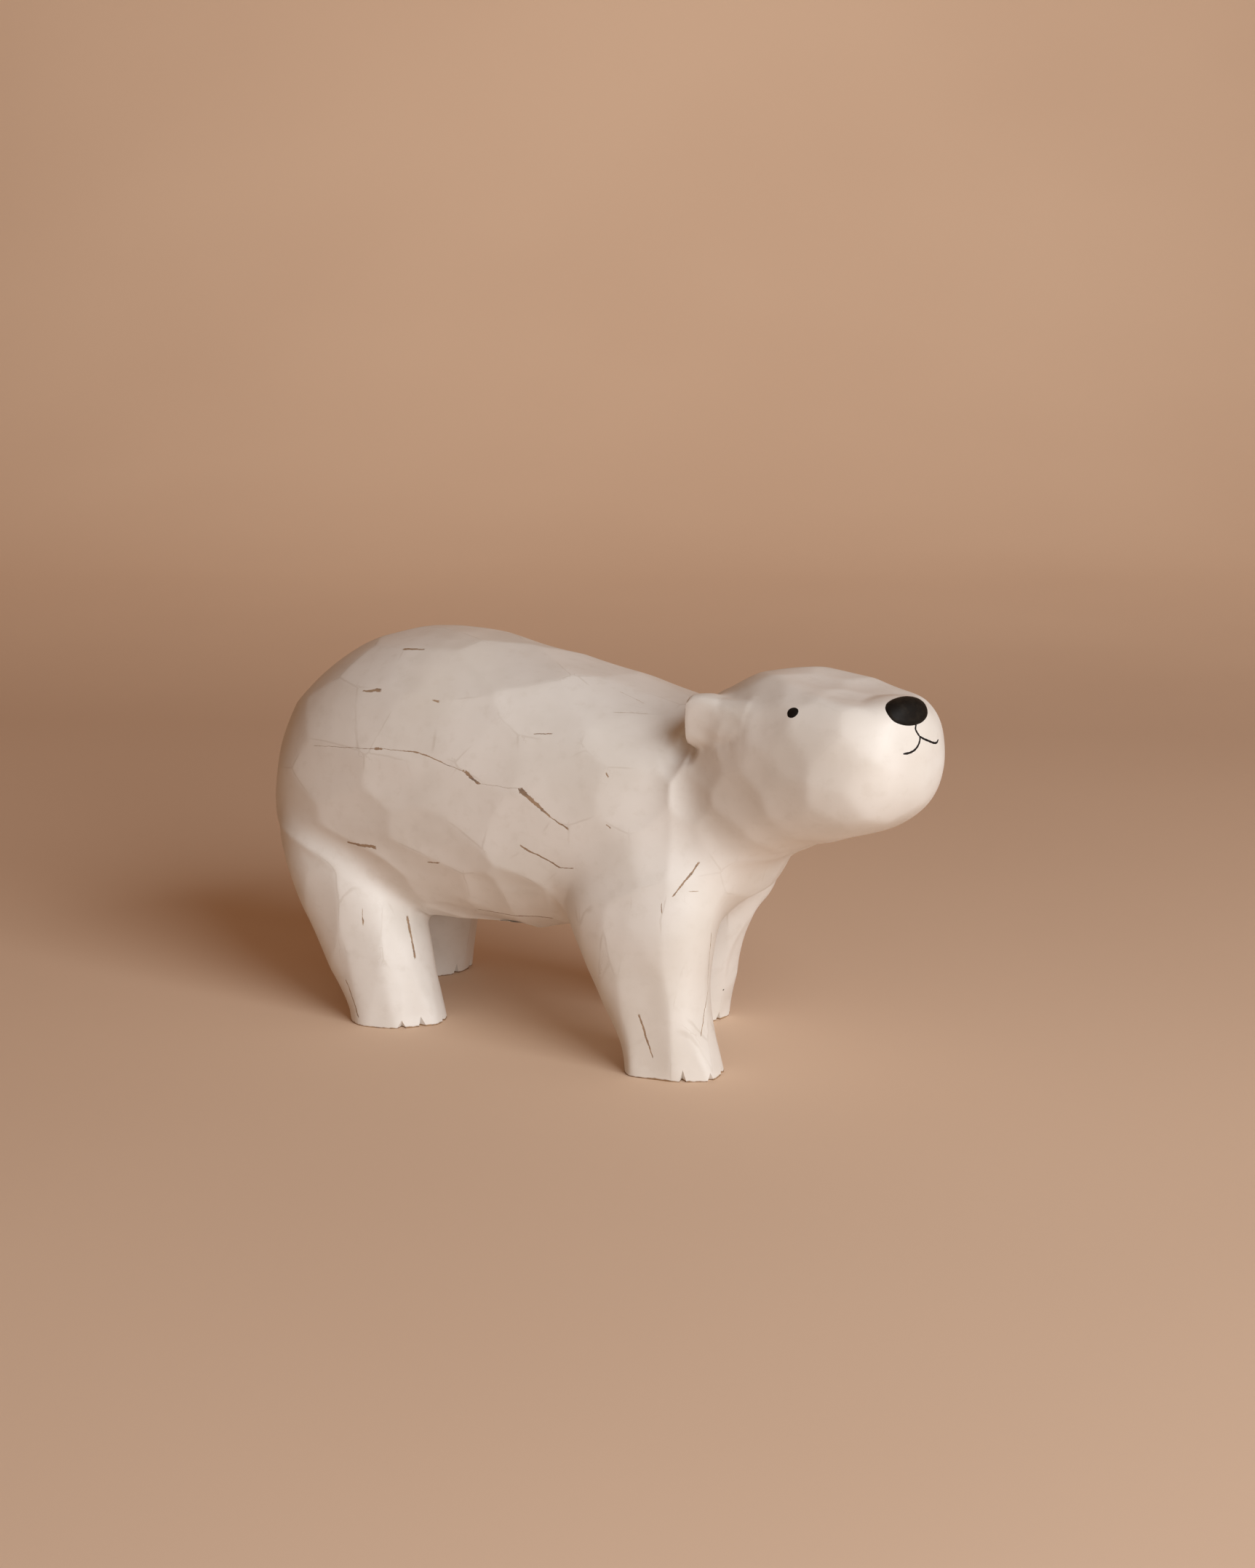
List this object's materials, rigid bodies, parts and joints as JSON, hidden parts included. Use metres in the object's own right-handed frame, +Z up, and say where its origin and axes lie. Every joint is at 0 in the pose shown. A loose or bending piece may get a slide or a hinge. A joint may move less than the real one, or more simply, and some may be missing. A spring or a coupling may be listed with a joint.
{
  "type": "carved wooden polar bear figurine",
  "caption": "White-painted wooden polar bear carved with knife facets, walking on stout legs with its head turned, black nose, dot eyes and a drawn mouth; stands freely on its soles.",
  "frame": {"origin": "on the ground under the middle of the whole figure's box", "axes": "+X the way the body faces, +Y the animal's left, +Z up"},
  "size_m": [0.2254, 0.078, 0.1171],
  "materials": {
    "white_painted_wood": "satin off-white paint, rubbed through to brown wood in short strokes along the facet edges",
    "bare_wood": "bare, planed",
    "black_painted_wood": "satin black paint",
    "black_ink": "matt black drawn line"
  },
  "bodies": {
    "root": {"torso": "white_painted_wood", "head": "white_painted_wood", "ear_right": "white_painted_wood", "ear_left": "white_painted_wood", "leg_front_right": "white_painted_wood", "leg_front_left": "white_painted_wood", "leg_rear_right": "white_painted_wood", "leg_rear_left": "white_painted_wood", "tail": "white_painted_wood", "nose": "black_painted_wood", "eye_right": "black_painted_wood", "eye_left": "black_painted_wood", "mouth_line": "black_ink", "neck_dowel_upper": "bare_wood", "neck_dowel_lower": "bare_wood", "leg_dowel_front_right": "bare_wood", "leg_dowel_front_left": "bare_wood", "leg_dowel_rear_right": "bare_wood", "leg_dowel_rear_left": "bare_wood", "ear_peg_right": "bare_wood", "ear_peg_left": "bare_wood"}
  },
  "joints": []
}
